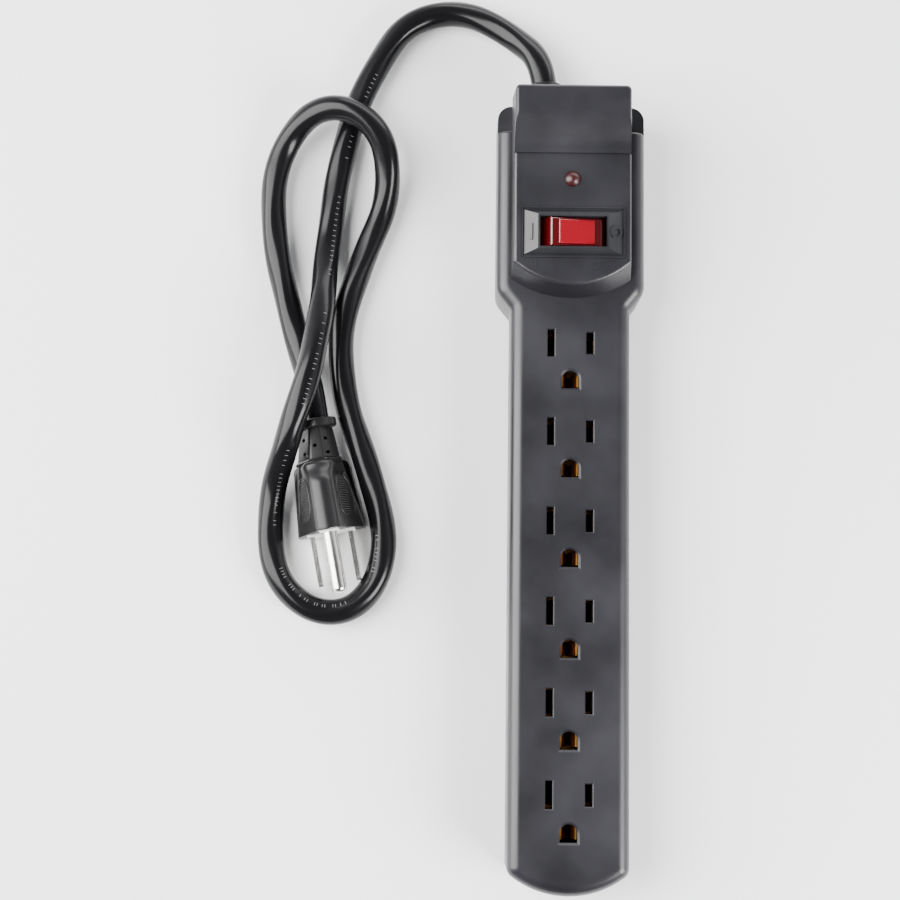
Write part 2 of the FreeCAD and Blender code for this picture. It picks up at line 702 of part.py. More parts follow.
def seesaw_contact():
    """Bar grooved to rock on the line terminal's bead, with a rivet under each arm."""
    body = new_body("seesaw_contact")
    item = new_sketch(body, "seesaw_bar", level="0")
    rectangle(item, "0", "0", "7.6", "1.9")
    pad(body, item, "0.7")
    cup = new_sketch(body, "seesaw_rivets", level="-0.35")
    for side in (-1, 1):
        ring(cup, str(side * 6.3), "0", "1.1")
    pad(body, cup, "0.5")
    groove = new_sketch(body, "seesaw_groove", "XZ_Plane")
    pocket(body, ring(groove, "0", "0", "bead_radius + 0.04"), "4.2", both=True)
    level = "pivot_level - seesaw_drop"
    body.Placement = FreeCAD.Placement(
        V(number("switch_across"), number("switch_along"), number(level)),
        FreeCAD.Rotation(V(0, 1, 0), -6))
    drive(body, "Placement.Base.x", "switch_across")
    drive(body, "Placement.Base.y", "switch_along")
    drive(body, "Placement.Base.z", level)


def neon_lamp():
    """Small glass lamp beside the stem, under the lens."""
    lamp = node(DOC.addObject("Part::Cylinder", "neon_lamp"), "neon_lamp")
    lamp.Radius = 1.0
    lamp.Height = 5.2
    lamp.Placement = FreeCAD.Placement(V(0, 0, 0), FreeCAD.Rotation(V(0, 1, 0), 90))
    drive(lamp, "Placement.Base.x", "switch_across + 4.6")
    drive(lamp, "Placement.Base.y", "switch_along")
    drive(lamp, "Placement.Base.z", "pivot_level - 6.1")


# ---------------------------------------------------------------- indicator, board

def dome_radius(half, rise):
    """Radius of the dome with this half width and height, centred on its axis."""
    return f"(({half}) ^ 2 + ({rise}) ^ 2) / (2 * {rise})"


def led_indicator():
    """Domed indicator lamp with its flange under the panel and two leads."""
    body = new_body("led_indicator")
    item = new_sketch(body, "led_side", "XZ_Plane")
    shoulder = "panel_level + 0.2"
    corners = [("0", "panel_level - 6.4"), ("lamp_radius + 0.4", "panel_level - 6.4"),
               ("lamp_radius + 0.4", "panel_level - skin - 0.1"),
               ("lamp_radius", "panel_level - skin - 0.1"), ("lamp_radius", shoulder),
               ("0", "panel_level + 1.7")]
    outline(item, corners, {4: (dome_radius("lamp_radius", "1.5"), 1)})
    made = body.newObject("PartDesign::Revolution", "led_turn")
    made.Profile = item
    made.ReferenceAxis = (item, ["V_Axis"])
    made.Angle = 360
    body.Tip = made
    leads = new_sketch(body, "led_leads", level="board_level + board_thick")
    for side in (-1, 1):
        rectangle(leads, str(side * 1.27), "0", "0.25", "0.25")
    pad(body, leads, "panel_level - 6 - board_level - board_thick")
    drive(body, "Placement.Base.y", "lamp_along")


def circuit_board():
    body = new_body("circuit_board")
    item = new_sketch(body, "board_plan", level="board_level")
    rectangle(item, "0", "(board_near + board_far) / 2", "board_half",
              "(board_far - board_near) / 2")
    pad(body, item, "board_thick")


def group(name, shapes):
    """Identical loose pieces in one node."""
    thing = node(DOC.addObject("Part::Feature", name), name)
    thing.Shape = Part.makeCompound(shapes)
    return thing


def varistors():
    """Three coated discs that stand on the board."""
    base = number("board_level + board_thick")
    discs = []
    for along in (104.6, 109.0, 113.4):
        disc = Part.makeCylinder(4.8, 3.2, V(7.5, along - 1.6, base + 5.0), V(0, 1, 0))
        legs = [Part.makeCylinder(0.35, 1.4, V(7.5 + side, along, base)) for side in (-3, 3)]
        discs.append(disc.fuse(legs).removeSplitter())
    group("varistors", discs)


def resistors():
    base = number("board_level + board_thick")
    shapes = []
    for along in (97.5, 100.5):
        barrel = Part.makeCylinder(0.95, 5.6, V(-11.8, along, base + 1.3), V(1, 0, 0))
        legs = [Part.makeCylinder(0.3, 1.4, V(x, along, base)) for x in (-11.3, -6.7)]
        shapes.append(barrel.fuse(legs).removeSplitter())
    group("resistors", shapes)


def thermal_fuse():
    """Fuse body across the board beside the varistors."""
    fuse = node(DOC.addObject("Part::Cylinder", "thermal_fuse"), "thermal_fuse")
    fuse.Radius = 2.0
    fuse.Height = 10.0
    fuse.Placement = FreeCAD.Placement(V(0, 0, 0), FreeCAD.Rotation(V(1, 0, 0), -90))
    fuse.Placement.Base = V(-5.0, 103.6, 0)
    drive(fuse, "Placement.Base.z", "board_level + board_thick + 2")


# ---------------------------------------------------------------- bus bars

def bus_bar(name, across, drop, gap_top, gap_low, leaf_long, leaf_top):
    """Strip along the body with a window and a pair of spring leaves at each outlet.

    The leaves stand gap_top from the middle at the top and gap_low at their throat."""
    body = new_body(name)
    strip = new_sketch(body, name + "_strip", level="bar_level")
    rectangle(strip, "0", "(bar_far - bar_near) / 2", "2.6", "(bar_far + bar_near) / 2")
    pad(body, strip, "bar_thick")
    throat = f"{leaf_top} - leaf_throat"
    window = new_sketch(body, name + "_window", level="bar_level")
    rectangle(window, "0", f"first_outlet - {drop}", "1.6", str(leaf_long / 2))
    opened = pocket(body, window, "bar_thick + 0.1", up=True)
    leaves = new_sketch(body, name + "_leaves", "XZ_Plane", f"-(first_outlet - {drop})")
    for side in (-1, 1):
        top, low = f"{side} * {gap_top}", f"{side} * {gap_low}"
        outer = f"{side} * leaf_thick"
        corners = [(f"{side} * 2.1", "bar_level + bar_thick / 2"), (low, throat),
                   (top, leaf_top), (f"{top} + {outer}", leaf_top),
                   (f"{low} + {outer}", throat),
                   (f"{side} * 2.1 + {outer}", "bar_level + bar_thick / 2")]
        outline(leaves, corners)
    made = pad(body, leaves, str(leaf_long), both=True)
    repeat(body, name + "_rows", [opened, made], "outlet_count", "outlet_pitch", "XZ_Plane",
           "N_Axis")
    drive(body, "Placement.Base.x", across)
    return body


def contact_tray():
    """Insulating channel that carries the bus bars above the cover's floor."""
    body = new_body("contact_tray")
    middle = "(tray_far - bar_near) / 2"
    block = new_sketch(body, "tray_block", level="skin")
    rectangle(block, "0", middle, "9.6", "(tray_far + bar_near) / 2 + 0.5")
    pad(body, block, "bar_level - skin")
    hollow = new_sketch(body, "tray_hollow", level="skin")
    rectangle(hollow, "0", middle, "8.2", "(tray_far + bar_near) / 2 + 2")
    pocket(body, hollow, "bar_level - skin - 1.8", up=True)


# ---------------------------------------------------------------- tubes

def routed(points):
    """Straight runs joined by the largest tangent arcs, and the arcs' radii."""
    edges, radii = [], []
    start = points[0]
    for before, corner, after in zip(points, points[1:], points[2:]):
        back, ahead = before - corner, after - corner
        turn = math.pi - back.getAngle(ahead)
        reach = 0.45 * min(back.Length, ahead.Length)
        back, ahead = back.normalize(), ahead.normalize()
        radius = reach / math.tan(turn / 2)
        first, last = corner + back * reach, corner + ahead * reach
        inward = (back + ahead).normalize()
        middle = corner + inward * (radius / math.cos(turn / 2) - radius)
        edges.append(Part.LineSegment(start, first).toShape())
        edges.append(Part.Arc(first, middle, last).toShape())
        radii.append(radius)
        start = last
    edges.append(Part.LineSegment(start, points[-1]).toShape())
    return Part.Wire(edges), radii


def tube(name, points, radius):
    """Solid round tube along a route, with its volume checked."""
    spots = [V(*point) for point in points]
    path, radii = routed(spots)
    heading = spots[1] - spots[0]
    section = Part.Wire(Part.Circle(spots[0], heading, radius).toShape())
    shape = path.makePipeShell([section], True, False)
    expected = math.pi * radius ** 2 * path.Length
    if abs(shape.Volume - expected) > 0.01 * expected:
        raise ValueError(f"{name}: volume {shape.Volume:.0f}, expected {expected:.0f}")
    thing = node(DOC.addObject("Part::Feature", name), name)
    thing.Shape = shape
    print(f"{name}: length {path.Length:.1f}, radii", [round(r, 1) for r in radii])
    return thing


# ---------------------------------------------------------------- cord and gland

CORD_ROUTE = [
    (-8.0, 130.3, 12.5), (-8.0, 144.5, 12.5), (-20.0, 157.5, 7.0), (-38.0, 166.5, 4.6),
    (-55.0, 162.0, 4.6), (-65.5, 147.0, 4.6), (-74.0, 127.0, 4.6), (-79.0, 103.0, 4.6),
    (-81.5, 78.0, 5.5), (-82.2, 56.0, 17.0), (-85.8, 36.0, 20.3), (-91.8, 17.0, 18.8),
    (-98.0, 0.0, 5.2), (-99.0, -18.5, 4.6), (-94.5, -32.5, 4.6), (-84.0, -41.0, 4.6),
    (-71.5, -40.5, 4.6), (-62.0, -30.5, 4.6), (-60.0, -13.0, 4.6), (-67.0, 9.5, 4.6),
    (-75.5, 33.0, 4.6), (-76.5, 57.0, 4.6), (-68.5, 80.0, 4.6), (-61.0, 99.0, 5.0),
    (-61.2, 114.5, 12.0), (-67.5, 124.5, 14.7), (-78.0, 129.3, 14.7), (-88.5, 127.0, 10.0),
    (-96.5, 118.0, 5.0), (-100.2, 104.0, 4.6), (-99.7, 87.0, 4.6), (-95.5, 67.0, 4.6),
    (-89.5, 46.0, 5.0), (-85.49, 33.043, 9.0), (-83.525, 22.932, 9.0),
]


def gland():
    """Moulded strain relief held by the end wall between two flanges."""
    body = new_body("cord_gland")
    item = new_sketch(body, "gland_side", "XZ_Plane")
    wall_near, wall_far = "far_end - wall - 0.05", "far_end + 0.05"
    # across is the radius, along is -Y in the piece's own frame
    profile = [("0", "117.4"), ("5.6", "117.4"), ("6.3", "123"), ("8", "123"),
               ("8", wall_near), ("gland_hole - 0.1", wall_near),
               ("gland_hole - 0.1", wall_far), ("7.4", wall_far), ("7.4", "far_end + 1.8"),
               ("6.2", "far_end + 1.8"), ("5.3", "far_end + gland_reach"),
               ("cord_radius", "far_end + gland_reach"), ("cord_radius", "far_end"),
               ("0", "far_end")]
    outline(item, profile)
    made = body.newObject("PartDesign::Revolution", "gland_turn")
    made.Profile = item
    made.ReferenceAxis = (item, ["V_Axis"])
    made.Angle = 360
    body.Tip = made
    body.Placement = FreeCAD.Placement(
        V(number("gland_across"), 0, number("gland_level")),
        FreeCAD.Rotation(V(1, 0, 0), -90))
    drive(body, "Placement.Base.x", "gland_across")
    drive(body, "Placement.Base.z", "gland_level")


LEADS = {
    "line_lead": [(-5.7, 117.4, 12.5), (-5.2, 111.5, 9.0), (-2.4, 101.0, 6.8),
                  (-1.6, 91.0, 6.4), (-1.6, 84.8, 6.4)],
    "load_lead": [(5.5, 82.2, 7.4), (5.5, 75.0, 6.4), (6.0, 67.0, 7.0), (6.35, 59.0, 9.0),
                  (6.35, 53.0, 9.0)],
    "neutral_lead": [(-10.5, 117.4, 11.4), (-9.0, 111.5, 7.6), (-9.2, 99.0, 5.6),
                     (-9.2, 84.0, 5.6), (-8.0, 68.0, 6.6), (-6.35, 59.0, 9.0),
                     (-6.35, 53.0, 9.0)],
    "ground_lead": [(-8.0, 117.4, 9.6), (-6.6, 112.0, 5.2), (-5.8, 100.0, 4.0),
                    (-5.4, 86.0, 4.0), (-2.0, 70.0, 5.5), (0.0, 59.0, 9.0),
                    (0.0, 53.0, 9.0)],
}
LEAD_RADIUS = 1.3


# ---------------------------------------------------------------- plug

def plug_frame(thing):
    thing.Placement = FreeCAD.Placement(
        V(number("plug_across"), number("plug_along"), 0),
        FreeCAD.Rotation(V(0, 0, 1), number("plug_turn")))
    drive(thing, "Placement.Base.x", "plug_across")
    drive(thing, "Placement.Base.y", "plug_along")


def plug_section(body, name, along, half, shoulder, ridge, ridge_foot):
    """Cross-section: flat base, low sides, sloping grips and a round ridge."""
    item = new_sketch(body, name, "XZ_Plane", f"-({along})")
    corners = [(f"-{half}", "0"), (half, "0"), (half, shoulder), (ridge, ridge_foot),
               (f"-{ridge}", ridge_foot), (f"-{half}", shoulder)]
    return outline(item, corners, {3: (f"{ridge} * 1.04", 1)})


def plug_body():
    body = new_body("plug_body")
    face = plug_section(body, "plug_face", "0", "front_half", "front_shoulder", "front_ridge",
                        "front_foot")
    rear = plug_section(body, "plug_rear", "plug_body", "back_half", "back_shoulder",
                        "back_ridge", "back_foot")
    loft(body, face, rear)
    thick = new_sketch(body, "relief_root", "XZ_Plane", "-(plug_body - 2)")
    ring(thick, "0", "cord_height", "relief_thick")
    thin = new_sketch(body, "relief_end", "XZ_Plane", "-(plug_body + relief_run)")
    ring(thin, "relief_lean", "cord_height", "relief_thin")
    loft(body, thick, thin)
    collar = new_sketch(body, "collar", "XZ_Plane",
                        "-(plug_body + relief_run + collar_run)")
    ring(collar, "relief_lean", "cord_height", "collar_radius")
    pad(body, collar, "collar_run")
    recess = new_sketch(body, "carrier_recess", "XZ_Plane")
    carrier_outline(recess, "carrier_gap")
    pocket(body, recess, "blade_root", up=False)
    plug_frame(body)


def carrier_outline(item, extra):
    """Blade block with a narrower part up to the ground pin."""
    wide, tall = f"carrier_half + {extra}", f"carrier_tall + {extra}"
    neck, top = f"carrier_neck + {extra}", f"carrier_top + {extra}"
    low = f"carrier_low - {extra}"
    corners = [(f"-({wide})", low), (wide, low), (wide, tall), (neck, tall), (neck, top),
               (f"-({neck})", top), (f"-({neck})", tall), (f"-({wide})", tall)]
    return outline(item, corners)


def plug_carrier():
    """Light insert that holds the blades and stands just proud of the face."""
    body = new_body("plug_carrier")
    item = new_sketch(body, "carrier_face", "XZ_Plane", "carrier_proud")
    pad(body, carrier_outline(item, "0"), "blade_root + carrier_proud", back=True)
    holes = new_sketch(body, "carrier_holes", "XZ_Plane", "carrier_proud")
    for side in (-1, 1):
        rectangle(holes, f"{side} * blade_spacing / 2", "blade_height",
                  "blade_thick / 2", "blade_wide / 2")
    ring(holes, "0", "blade_height + earth_rise", "earth_radius")
    pocket(body, holes, "blade_root + carrier_proud")
    plug_frame(body)


def plug_blade(name, side):
    """Flat blade with tapered tip and a cross hole."""
    body = new_body(name)
    item = new_sketch(body, name + "_side", "YZ_Plane", f"{side} * blade_spacing / 2")
    low, high = "blade_height - blade_wide / 2", "blade_height + blade_wide / 2"
    corners = [("blade_root", low), ("blade_root", high), ("blade_taper - blade_reach", high),
               ("-blade_reach", f"{high} - blade_taper"),
               ("-blade_reach", f"{low} + blade_taper"), ("blade_taper - blade_reach", low)]
    pad(body, outline(item, corners), "blade_thick", both=True)
    hole = new_sketch(body, name + "_hole", "YZ_Plane", f"{side} * blade_spacing / 2")
    pocket(body, ring(hole, "blade_hole_gap - blade_reach", "blade_height", "blade_hole"),
           "2 * blade_thick", both=True)
    plug_frame(body)


def plug_ground_pin():
    """Round pin with a domed tip."""
    body = new_body("plug_ground_pin")
    item = new_sketch(body, "pin_side", "XZ_Plane")
    corners = [("0", "-earth_reach"), ("earth_radius", "earth_dome - earth_reach"),
               ("earth_radius", "blade_root"), ("0", "blade_root")]
    outline(item, corners, {0: (dome_radius("earth_radius", "earth_dome"), 1)})
    made = body.newObject("PartDesign::Revolution", "pin_turn")
    made.Profile = item
    made.ReferenceAxis = (item, ["V_Axis"])
    made.Angle = 360
    body.Tip = made
    turn = FreeCAD.Rotation(V(0, 0, 1), number("plug_turn"))
    lay = FreeCAD.Rotation(V(1, 0, 0), -90)
    body.Placement = FreeCAD.Placement(
        V(number("plug_across"), number("plug_along"), number("blade_height + earth_rise")),
        turn.multiply(lay))
    drive(body, "Placement.Base.x", "plug_across")
    drive(body, "Placement.Base.y", "plug_along")
    drive(body, "Placement.Base.z", "blade_height + earth_rise")


def housing_screws():
    """Pan-head screws from below, one in each column."""
    reach, head = number("screw_reach"), number("screw_head")
    shank = number("screw_radius")
    shapes = []
    for across, along in BOSS_PLACES:
        for side in (-1, 1):
            spot = V(side * across, along, 1.9)
            top = Part.makeCylinder(head, 2.1, spot)
            slot = Part.makeBox(4, 0.8, 1.2, spot + V(-2, -0.4, -0.2))
            other = Part.makeBox(0.8, 4, 1.2, spot + V(-0.4, -2, -0.2))
            stem = Part.makeCylinder(shank, reach - 1.9, spot)
            shapes.append(top.fuse(stem).cut(slot.fuse(other)).removeSplitter())
    group("housing_screws", shapes)


# ---------------------------------------------------------------- assembly

top_housing()
rear_cover()
switch_bezel()
breaker_case()
rocker()
rocker_lens()
plunger()
plunger_spring()
rocker_pin()
seesaw_contact()
neon_lamp()
line_terminal()
terminal("load_terminal", "pivot_level - 11.2")
terminal("lamp_terminal", "pivot_level - 11.9")
led_indicator()
circuit_board()
varistors()
resistors()
thermal_fuse()
contact_tray()
bus_bar("neutral_bus_bar", "-blade_spacing / 2", "0", 1.3, 0.95, 7.6, "blade_leaf_top")
bus_bar("line_bus_bar", "blade_spacing / 2", "0", 1.3, 0.95, 6.2, "blade_leaf_top")
bus_bar("ground_bus_bar", "0", "ground_drop", 2.2, 0.8, 4.4, "earth_leaf_top")
housing_screws()
gland()
for lead, route in LEADS.items():
    tube(lead, route, LEAD_RADIUS)
tube("power_cord", CORD_ROUTE, number("cord_radius"))
plug_body()
plug_carrier()
plug_blade("plug_line_blade", 1)
plug_blade("plug_neutral_blade", -1)
plug_ground_pin()


# ---------------------------------------------------------------- checks, export

DOC.recompute()
for thing in DOC.Objects:
    if "Invalid" in thing.State or "Error" in thing.State:
        raise RuntimeError(f"{thing.Name} failed: {thing.State}")
os.makedirs("parts", exist_ok=True)
for thing in NODES:
    shape = thing.Shape
    if shape.isNull() or not shape.isValid() or not shape.Solids:
        raise RuntimeError(f"{thing.Label} has no valid solid")
    shape.exportStep(f"parts/{thing.Label}.step")
print(f"{len(NODES)} parts written")
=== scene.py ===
"""Looks of a six-outlet surge protector with a short cord and a moulded plug."""
import json
import math

import bmesh
import bpy
from mathutils import Matrix, Vector


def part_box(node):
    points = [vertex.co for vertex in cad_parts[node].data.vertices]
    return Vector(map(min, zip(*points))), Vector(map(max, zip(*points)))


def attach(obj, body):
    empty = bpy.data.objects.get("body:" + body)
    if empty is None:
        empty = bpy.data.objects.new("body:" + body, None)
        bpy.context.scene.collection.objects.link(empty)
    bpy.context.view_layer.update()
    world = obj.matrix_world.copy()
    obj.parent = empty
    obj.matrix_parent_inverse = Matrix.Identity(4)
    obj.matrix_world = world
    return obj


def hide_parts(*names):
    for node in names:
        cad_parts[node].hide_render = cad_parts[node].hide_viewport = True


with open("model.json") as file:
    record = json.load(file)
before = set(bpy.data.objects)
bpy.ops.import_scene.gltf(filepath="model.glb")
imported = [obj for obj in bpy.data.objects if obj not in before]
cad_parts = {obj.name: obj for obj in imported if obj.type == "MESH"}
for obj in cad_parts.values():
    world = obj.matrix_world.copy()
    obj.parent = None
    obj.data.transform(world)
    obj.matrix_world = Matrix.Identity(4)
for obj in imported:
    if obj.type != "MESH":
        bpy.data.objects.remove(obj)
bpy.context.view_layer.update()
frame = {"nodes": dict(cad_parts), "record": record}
NODES = frame["nodes"]
MM = 0.001


# ---------------------------------------------------------------- camera, floor, lights

CAMERA_PLACE = (-0.03895, -0.0592, 0.625)
CAMERA_TILT = math.radians(6.712)
CAMERA_ROLL = math.radians(-0.67)
CAMERA_LENS, CAMERA_SENSOR = 74.59, 36     # millimetres
FLOOR_HALF = 3.0
FLOOR_LEVEL = -0.1 * MM
LIGHTS = (                 # name, place, target, size in metres, power in watts
    ("key_light", (-0.75, 0.08, 0.62), (0.0, 0.08, 0.0), (0.85, 1.15), 42),
    ("side_light", (0.62, -0.42, 0.5), (0.0, -0.08, 0.0), (0.5, 0.5), 20),
    ("back_light", (0.35, 1.0, 0.35), (-0.02, 0.1, 0.0), (1.2, 0.4), 8),
)
ZENITH, HORIZON, NEAR_SIDE = 0.17, 1.8, 0.2     # strength of the room's light


def make_camera():
    """Camera above the strip that looks almost straight down."""
    right = Vector((1, 0, 0))
    up = Vector((0, math.cos(CAMERA_TILT), math.sin(CAMERA_TILT)))
    back = right.cross(up)
    across = right * math.cos(CAMERA_ROLL) - up * math.sin(CAMERA_ROLL)
    above = right * math.sin(CAMERA_ROLL) + up * math.cos(CAMERA_ROLL)
    data = bpy.data.cameras.new("camera")
    data.sensor_width = CAMERA_SENSOR
    data.lens = CAMERA_LENS
    data.clip_start = 0.01
    camera = bpy.data.objects.new("camera", data)
    turn = Matrix((across, above, back)).transposed().to_4x4()
    camera.matrix_world = Matrix.Translation(CAMERA_PLACE) @ turn
    bpy.context.scene.collection.objects.link(camera)
    bpy.context.scene.camera = camera


def area_light(name, place, target, size, power):
    """Rectangular softbox at a place, facing a target."""
    data = bpy.data.lights.new(name, "AREA")
    data.shape = "RECTANGLE"
    data.size, data.size_y = size
    data.energy = power
    lamp = bpy.data.objects.new(name, data)
    aim = (Vector(target) - Vector(place)).to_track_quat("-Z", "Y")
    lamp.matrix_world = Matrix.Translation(place) @ aim.to_matrix().to_4x4()
    lamp.visible_camera = False
    bpy.context.scene.collection.objects.link(lamp)


def make_lights():
    """Tall softbox on the left, a small one on the near right, one behind, and a pale room."""
    for light in LIGHTS:
        area_light(*light)
    make_room()


def make_room():
    """Surroundings that are pale at the horizon, dim overhead and dimmer on the near side."""
    world = bpy.data.worlds.new("room")
    world.use_nodes = True
    tree = world.node_tree
    place = tree.nodes.new("ShaderNodeTexCoord")
    split = tree.nodes.new("ShaderNodeSeparateXYZ")
    product = tree.nodes.new("ShaderNodeMath")
    product.operation = "MULTIPLY"
    tree.links.new(place.outputs["Generated"], split.inputs[0])
    fades = (("Z", 0.35, 0.85, HORIZON, ZENITH), ("Y", -0.5, 0.2, NEAR_SIDE, 1.0))
    for socket, (axis, start, stop, low, high) in zip(product.inputs, fades):
        fade = tree.nodes.new("ShaderNodeMapRange")
        fade.inputs["From Min"].default_value = start
        fade.inputs["From Max"].default_value = stop
        fade.inputs["To Min"].default_value = low
        fade.inputs["To Max"].default_value = high
        tree.links.new(split.outputs[axis], fade.inputs["Value"])
        tree.links.new(fade.outputs[0], socket)
    sky = tree.nodes["Background"]
    sky.inputs["Color"].default_value = (0.95, 0.96, 1.0, 1)
    tree.links.new(product.outputs[0], sky.inputs["Strength"])
    bpy.context.scene.world = world


def make_floor():
    """Pale sheet the strip lies on."""
    shape = bmesh.new()
    corners = ((-1, -1), (1, -1), (1, 1), (-1, 1))
    shape.faces.new([shape.verts.new((x * FLOOR_HALF, y * FLOOR_HALF, FLOOR_LEVEL))
                     for x, y in corners])
    floor = to_object("floor", shape)
    paint(floor, plain_material("floor_paper", (0.9, 0.9, 0.9), 0.75))


# ---------------------------------------------------------------- mesh helpers

def to_object(name, shape, smooth=None):
    """Object made from a bmesh; smooth is the largest angle that is shaded round."""
    mesh = bpy.data.meshes.new(name)
    bmesh.ops.recalc_face_normals(shape, faces=shape.faces)
    shape.to_mesh(mesh)
    shape.free()
    made = bpy.data.objects.new(name, mesh)
    bpy.context.scene.collection.objects.link(made)
    if smooth is not None:
        shade_round(made, smooth)
    return made


def shade_round(thing, angle):
    """Shade smooth, but keep edges sharper than the angle crisp."""
    mesh = thing.data
    mesh.polygons.foreach_set("use_smooth", [True] * len(mesh.polygons))
    mesh.set_sharp_from_angle(angle=math.radians(angle))
    mesh.update()


def paint(thing, material):
    thing.data.materials.clear()
    thing.data.materials.append(material)


def circle(radius, count):
    """Pairs of coordinates round a circle."""
    turns = [2 * math.pi * index / count for index in range(count)]
    return [(radius * math.cos(turn), radius * math.sin(turn)) for turn in turns]


def skin_rings(shape, rings):
    """Faces between rings of points, with both ends closed by flat caps."""
    rows = [[shape.verts.new(point) for point in points] for points in rings]
    count = len(rows[0])
    for low, high in zip(rows, rows[1:]):
        for index in range(count):
            after = (index + 1) % count
            shape.faces.new((low[index], low[after], high[after], high[index]))
    shape.faces.new(rows[0][::-1])
    shape.faces.new(rows[-1])


def finish_piece(thing, body, replaced=()):
    """Put a new piece on its CAD body and hide the CAD nodes that it replaces."""
    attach(thing, body)
    if replaced:
        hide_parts(*replaced)
    return thing


def cut_by(thing, tool):
    """Cut another object out of a piece with an exact boolean; the tool is then removed."""
    step = thing.modifiers.new("cut", "BOOLEAN")
    step.object = tool
    step.operation = "DIFFERENCE"
    step.solver = "EXACT"
    graph = bpy.context.evaluated_depsgraph_get()
    made = bpy.data.meshes.new_from_object(thing.evaluated_get(graph))
    thing.modifiers.clear()
    thing.data = made
    bpy.data.objects.remove(tool)


# ---------------------------------------------------------------- materials

class Shade:
    """Node material with a Principled shader and short ways to wire it."""

    def __init__(self, name, colour, roughness, **sockets):
        self.material = bpy.data.materials.new(name)
        self.material.use_nodes = True
        self.tree = self.material.node_tree
        self.shader = self.tree.nodes["Principled BSDF"]
        self.shader.inputs["Base Color"].default_value = (*colour, 1)
        self.shader.inputs["Roughness"].default_value = roughness
        for socket, value in sockets.items():
            self.shader.inputs[socket.replace("_", " ")].default_value = value
        self.place = self.tree.nodes.new("ShaderNodeTexCoord").outputs["Object"]
        self.normal = None

    def node(self, kind, **inputs):
        made = self.tree.nodes.new("ShaderNode" + kind)
        for key, value in inputs.items():
            socket = made.inputs[key.replace("_", " ")]
            if isinstance(value, bpy.types.NodeSocket):
                self.tree.links.new(value, socket)
            else:
                socket.default_value = value
        return made

    def noise(self, scale, detail=2.0):
        return self.node("TexNoise", Vector=self.place, Scale=scale, Detail=detail).outputs[0]

    def spread(self, value, low, high, start=0.3, stop=0.7):
        """Map a noise value onto a range."""
        step = self.node("MapRange", Value=value, From_Min=start, From_Max=stop,
                         To_Min=low, To_Max=high)
        return step.outputs[0]

    def two_colours(self, factor, first, second):
        ramp = self.tree.nodes.new("ShaderNodeValToRGB")
        ramp.color_ramp.elements[0].color = (*first, 1)
        ramp.color_ramp.elements[1].color = (*second, 1)
        self.tree.links.new(factor, ramp.inputs[0])
        self.tree.links.new(ramp.outputs[0], self.shader.inputs["Base Color"])
        return self

    def rough(self, value):
        self.tree.links.new(value, self.shader.inputs["Roughness"])
        return self

    def bump(self, height, depth, strength):
        """Add one layer of relief, depth in metres."""
        step = self.node("Bump", Height=height, Distance=depth, Strength=strength)
        if self.normal is not None:
            self.tree.links.new(self.normal, step.inputs["Normal"])
        self.normal = step.outputs[0]
        self.tree.links.new(self.normal, self.shader.inputs["Normal"])
        return self

    def done(self):
        return self.material


def plain_material(name, colour, roughness):
    """Matte material with a faint mottle."""
    shade = Shade(name, colour, roughness)
    mottle = shade.noise(40.0)
    return shade.rough(shade.spread(mottle, roughness - 0.04, roughness + 0.04)).done()


def toned(colour, share):
    """The same colour, lighter or darker."""
    return tuple(min(1, channel * share) for channel in colour)


def moulded(name, colour, roughness):
    """Spark-grained moulding, cloudy in colour and gloss as if handled."""
    shade = Shade(name, colour, roughness, Specular_IOR_Level=0.5)
    cloud, grain, ripple = shade.noise(34.0, 6.0), shade.noise(2600.0, 3.0), shade.noise(420.0)
    shade.two_colours(shade.spread(cloud, 0.0, 1.0, 0.35, 0.75),
                      toned(colour, 0.75), toned(colour, 1.7))
    shade.rough(shade.spread(cloud, roughness - 0.06, roughness + 0.07))
    shade.bump(grain, 0.010 * MM, 0.6)
    return shade.bump(ripple, 0.006 * MM, 0.4).done()


def flexible(name, colour, roughness, shine=0.3):
    """Glossy vinyl with slow waves in its surface."""
    shade = Shade(name, colour, roughness, Specular_IOR_Level=shine)
    cloud, wave, grain = shade.noise(60.0, 4.0), shade.noise(150.0), shade.noise(2200.0)
    shade.rough(shade.spread(cloud, roughness - 0.05, roughness + 0.06))
    shade.bump(wave, 0.05 * MM, 0.35)
    return shade.bump(grain, 0.006 * MM, 0.4).done()


def metal(name, colour, roughness):
    """Stamped or turned metal with fine scratches along Y."""
    shade = Shade(name, colour, roughness, Metallic=1.0)
    drawn_out = shade.node("Mapping", Vector=shade.place, Scale=(1.0, 0.08, 1.0)).outputs[0]
    scratch = shade.node("TexNoise", Vector=drawn_out, Scale=900.0, Detail=3.0).outputs[0]
    shade.two_colours(shade.noise(220.0, 3.0), toned(colour, 0.82), colour)
    shade.rough(shade.spread(scratch, roughness - 0.06, roughness + 0.10))
    return shade.bump(scratch, 0.0012 * MM, 0.4).done()


def tinted(name, colour, roughness, clear, painted_glow=0.0, coat=1.0):
    """Coloured clear plastic; its emission strength adds painted light, an even light in its own
    colour that lifts its shaded parts, though no lamp is lit inside.
    """
    shade = Shade(name, colour, roughness, Coat_Weight=coat, Coat_Roughness=0.04,
                  Transmission_Weight=clear, IOR=1.49, Emission_Color=(*colour, 1),
                  Emission_Strength=painted_glow)
    shade.two_colours(shade.noise(260.0, 3.0), toned(colour, 0.8), colour)
    return shade.bump(shade.noise(300.0, 1.0), 0.01 * MM, 0.25).done()


